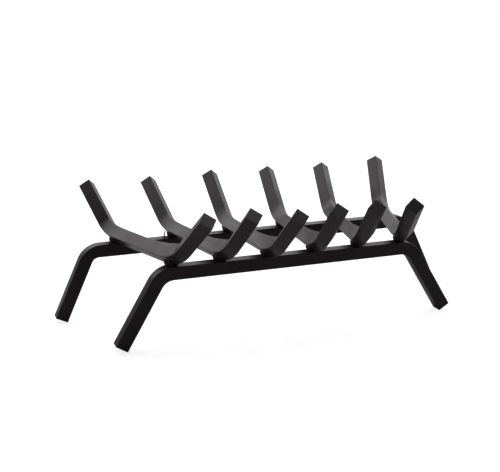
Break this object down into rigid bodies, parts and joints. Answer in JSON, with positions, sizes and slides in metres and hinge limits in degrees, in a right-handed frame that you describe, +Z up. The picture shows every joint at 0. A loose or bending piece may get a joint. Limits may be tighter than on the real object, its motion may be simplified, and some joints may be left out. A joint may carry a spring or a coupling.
{
  "type": "log grate",
  "caption": "Welded steel log grate: two splay-legged frames carry fire bars that fan out to the front and turn up at both ends to cradle the logs.",
  "frame": {"origin": "on the hearth, under the centre of the grate's bounding box", "axes": "+Z up; +X along the frames, to the right when seen from the back; +Y from the narrow back of the grate to its wide front"},
  "size_m": [0.6378, 0.3626, 0.2071],
  "materials": {
    "frame_paint": "satin black high-temperature paint on square steel bar",
    "fire_bar_paint": "satin black high-temperature paint, a little worn and dusty on the upper faces",
    "weld_paint": "black paint over rippled weld beads"
  },
  "bodies": {
    "root": {"back_frame": "frame_paint", "front_frame": "frame_paint", "fire_bar_1": "fire_bar_paint", "fire_bar_2": "fire_bar_paint", "fire_bar_3": "fire_bar_paint", "fire_bar_4": "fire_bar_paint", "fire_bar_5": "fire_bar_paint", "fire_bar_6": "fire_bar_paint", "back_weld_1": "weld_paint", "back_weld_2": "weld_paint", "back_weld_3": "weld_paint", "back_weld_4": "weld_paint", "back_weld_5": "weld_paint", "back_weld_6": "weld_paint", "front_weld_1": "weld_paint", "front_weld_2": "weld_paint", "front_weld_3": "weld_paint", "front_weld_4": "weld_paint", "front_weld_5": "weld_paint", "front_weld_6": "weld_paint"}
  },
  "joints": []
}
